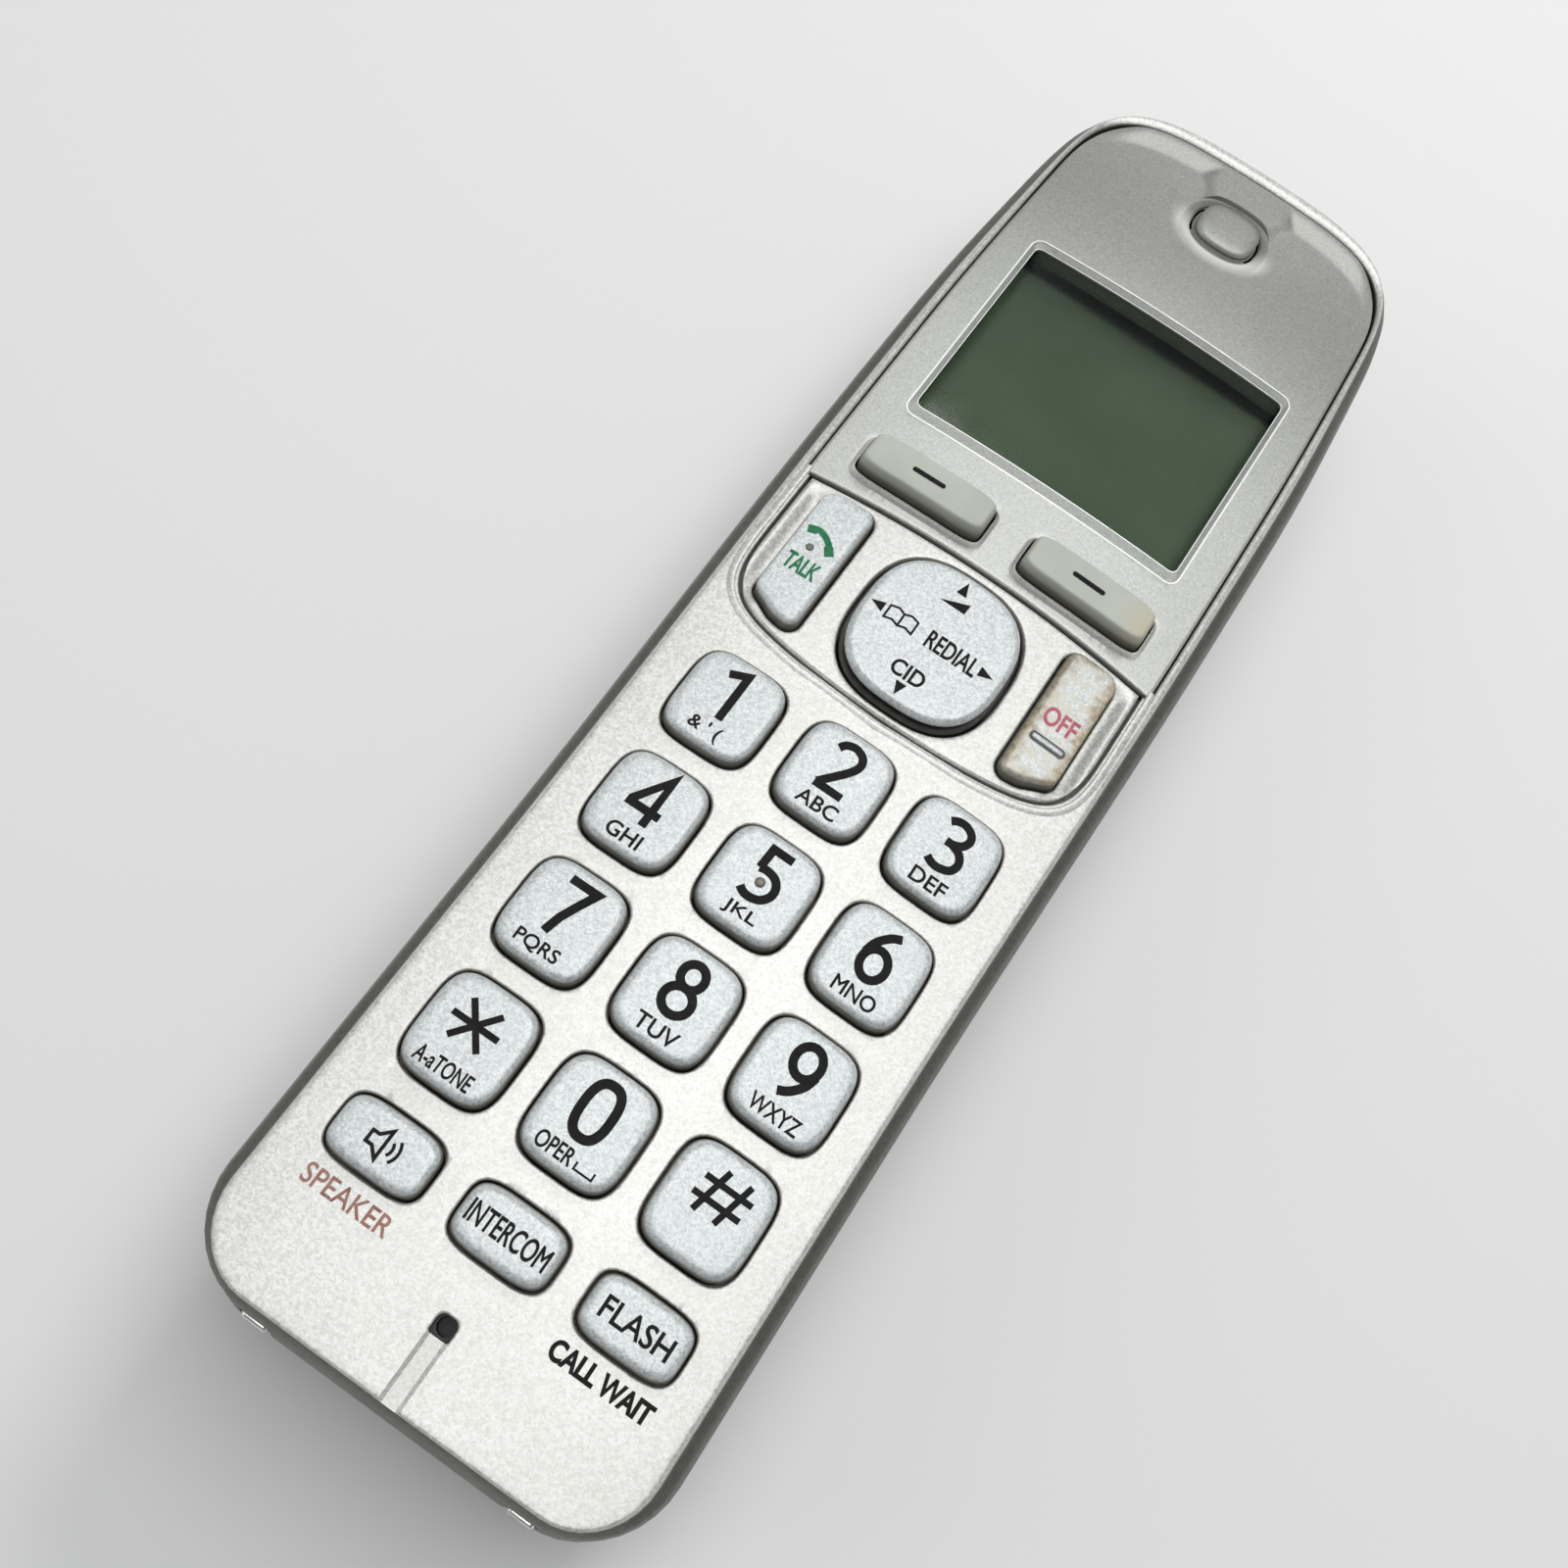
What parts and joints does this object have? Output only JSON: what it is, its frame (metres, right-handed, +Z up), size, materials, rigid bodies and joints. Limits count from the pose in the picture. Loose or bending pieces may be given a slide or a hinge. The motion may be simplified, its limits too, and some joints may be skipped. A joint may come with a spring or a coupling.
{
  "type": "cordless telephone handset",
  "caption": "Cordless telephone handset: long rounded body with a display window, soft keys, four-way key, call keys, dial pad, earpiece and end charging contacts.",
  "frame": {"origin": "on the surface that the handset's back rests on, below the middle of its bounding box", "axes": "+X to the right of the keypad, +Y along the body towards the earpiece, +Z up out of the keypad"},
  "size_m": [0.0516, 0.172, 0.03],
  "materials": {
    "silver_paint": "silver metallic-flake paint over ABS, satin",
    "panel_silver": "finer silver metallic paint over ABS, satin",
    "key_silver": "blue-grey speckled silver keycaps with printed legends",
    "soft_key_grey": "warm grey matte keycaps",
    "rear_grey": "dark champagne-grey paint, satin",
    "clear_lens": "clear acrylic window",
    "lcd_green": "grey-green liquid-crystal display, switched off",
    "black_plastic": "black moulded plastic",
    "white_plastic": "white polyester and light guide",
    "silicone_rubber": "grey silicone rubber",
    "board_green": "glass-epoxy circuit board with green solder mask",
    "tin_plate": "tin-plated steel sheet",
    "steel": "bright zinc-plated steel",
    "gold_plate": "nickel-plated contact strip",
    "cell_sleeve": "printed plastic sleeve of a rechargeable cell"
  },
  "bodies": {
    "handset": {"antenna": "tin_plate", "battery_cell_1": "cell_sleeve", "battery_cell_2": "cell_sleeve", "battery_plate_1": "tin_plate", "battery_plate_2": "tin_plate", "battery_spring_1": "steel", "battery_spring_2": "steel", "case_screw_left": "steel", "case_screw_right": "steel", "charge_contact_left": "gold_plate", "charge_contact_right": "gold_plate", "display_lens": "clear_lens", "display_panel": "panel_silver", "dome_sheet": "white_plastic", "earpiece_receiver": "black_plastic", "front_cover": "silver_paint", "keypad_membrane": "silicone_rubber", "lcd_backlight": "white_plastic", "lcd_frame": "black_plastic", "lcd_glass": "lcd_green", "loudspeaker": "steel", "main_board": "board_green", "microphone": "tin_plate", "microphone_boot": "silicone_rubber", "nav_panel": "silver_paint", "rear_cover": "rear_grey", "receiver_gasket": "silicone_rubber", "rf_shield": "tin_plate"},
    "key_1_body": {"key_1": "key_silver"},
    "key_2_body": {"key_2": "key_silver"},
    "key_3_body": {"key_3": "key_silver"},
    "key_4_body": {"key_4": "key_silver"},
    "key_5_body": {"key_5": "key_silver"},
    "key_6_body": {"key_6": "key_silver"},
    "key_7_body": {"key_7": "key_silver"},
    "key_8_body": {"key_8": "key_silver"},
    "key_9_body": {"key_9": "key_silver"},
    "key_star_body": {"key_star": "key_silver"},
    "key_0_body": {"key_0": "key_silver"},
    "key_hash_body": {"key_hash": "key_silver"},
    "speaker_key_body": {"speaker_key": "key_silver"},
    "intercom_key_body": {"intercom_key": "key_silver"},
    "flash_key_body": {"flash_key": "key_silver"},
    "talk_key_body": {"talk_key": "key_silver"},
    "off_key_body": {"off_key": "key_silver"},
    "soft_key_left_body": {"soft_key_left": "soft_key_grey"},
    "soft_key_right_body": {"soft_key_right": "soft_key_grey"},
    "nav_carrier_body": {"nav_carrier": "black_plastic"},
    "nav_key_body": {"nav_key": "key_silver"},
    "battery_door_body": {"battery_door": "rear_grey"}
  },
  "joints": [
    {"name": "key_1_press", "type": "slide", "parent": "handset", "child": "key_1_body", "axis": [0, 0, -1], "range_m": [0, 0.0008], "stiffness_N_per_m": 1000},
    {"name": "key_2_press", "type": "slide", "parent": "handset", "child": "key_2_body", "axis": [0, 0, -1], "range_m": [0, 0.0008], "stiffness_N_per_m": 1000},
    {"name": "key_3_press", "type": "slide", "parent": "handset", "child": "key_3_body", "axis": [0, 0, -1], "range_m": [0, 0.0008], "stiffness_N_per_m": 1000},
    {"name": "key_4_press", "type": "slide", "parent": "handset", "child": "key_4_body", "axis": [0, 0, -1], "range_m": [0, 0.0008], "stiffness_N_per_m": 1000},
    {"name": "key_5_press", "type": "slide", "parent": "handset", "child": "key_5_body", "axis": [0, 0, -1], "range_m": [0, 0.0008], "stiffness_N_per_m": 1000},
    {"name": "key_6_press", "type": "slide", "parent": "handset", "child": "key_6_body", "axis": [0, 0, -1], "range_m": [0, 0.0008], "stiffness_N_per_m": 1000},
    {"name": "key_7_press", "type": "slide", "parent": "handset", "child": "key_7_body", "axis": [0, 0, -1], "range_m": [0, 0.0008], "stiffness_N_per_m": 1000},
    {"name": "key_8_press", "type": "slide", "parent": "handset", "child": "key_8_body", "axis": [0, 0, -1], "range_m": [0, 0.0008], "stiffness_N_per_m": 1000},
    {"name": "key_9_press", "type": "slide", "parent": "handset", "child": "key_9_body", "axis": [0, 0, -1], "range_m": [0, 0.0008], "stiffness_N_per_m": 1000},
    {"name": "key_star_press", "type": "slide", "parent": "handset", "child": "key_star_body", "axis": [0, 0, -1], "range_m": [0, 0.0008], "stiffness_N_per_m": 1000},
    {"name": "key_0_press", "type": "slide", "parent": "handset", "child": "key_0_body", "axis": [0, 0, -1], "range_m": [0, 0.0008], "stiffness_N_per_m": 1000},
    {"name": "key_hash_press", "type": "slide", "parent": "handset", "child": "key_hash_body", "axis": [0, 0, -1], "range_m": [0, 0.0008], "stiffness_N_per_m": 1000},
    {"name": "speaker_key_press", "type": "slide", "parent": "handset", "child": "speaker_key_body", "axis": [0, 0, -1], "range_m": [0, 0.0008], "stiffness_N_per_m": 1000},
    {"name": "intercom_key_press", "type": "slide", "parent": "handset", "child": "intercom_key_body", "axis": [0, 0, -1], "range_m": [0, 0.0008], "stiffness_N_per_m": 1000},
    {"name": "flash_key_press", "type": "slide", "parent": "handset", "child": "flash_key_body", "axis": [0, 0, -1], "range_m": [0, 0.0008], "stiffness_N_per_m": 1000},
    {"name": "talk_key_press", "type": "slide", "parent": "handset", "child": "talk_key_body", "axis": [0, 0, -1], "range_m": [0, 0.0008], "stiffness_N_per_m": 1000},
    {"name": "off_key_press", "type": "slide", "parent": "handset", "child": "off_key_body", "axis": [0, 0, -1], "range_m": [0, 0.0008], "stiffness_N_per_m": 1000},
    {"name": "soft_key_left_press", "type": "slide", "parent": "handset", "child": "soft_key_left_body", "axis": [0, 0, -1], "range_m": [0, 0.0008], "stiffness_N_per_m": 1000},
    {"name": "soft_key_right_press", "type": "slide", "parent": "handset", "child": "soft_key_right_body", "axis": [0, 0, -1], "range_m": [0, 0.0008], "stiffness_N_per_m": 1000},
    {"name": "nav_up_down", "type": "hinge", "parent": "handset", "child": "nav_carrier_body", "pos_m": [0, 0.00385, 0.024], "axis": [1, 0, 0], "range_deg": [-3, 3], "stiffness_Nm_per_rad": 0.24},
    {"name": "nav_left_right", "type": "hinge", "parent": "nav_carrier_body", "child": "nav_key_body", "pos_m": [0, 0.00385, 0.024], "axis": [0, 1, 0], "range_deg": [-3, 3], "stiffness_Nm_per_rad": 0.24},
    {"name": "battery_door_slide", "type": "slide", "parent": "handset", "child": "battery_door_body", "axis": [0, -1, 0], "range_m": [0, 0.06]}
  ]
}
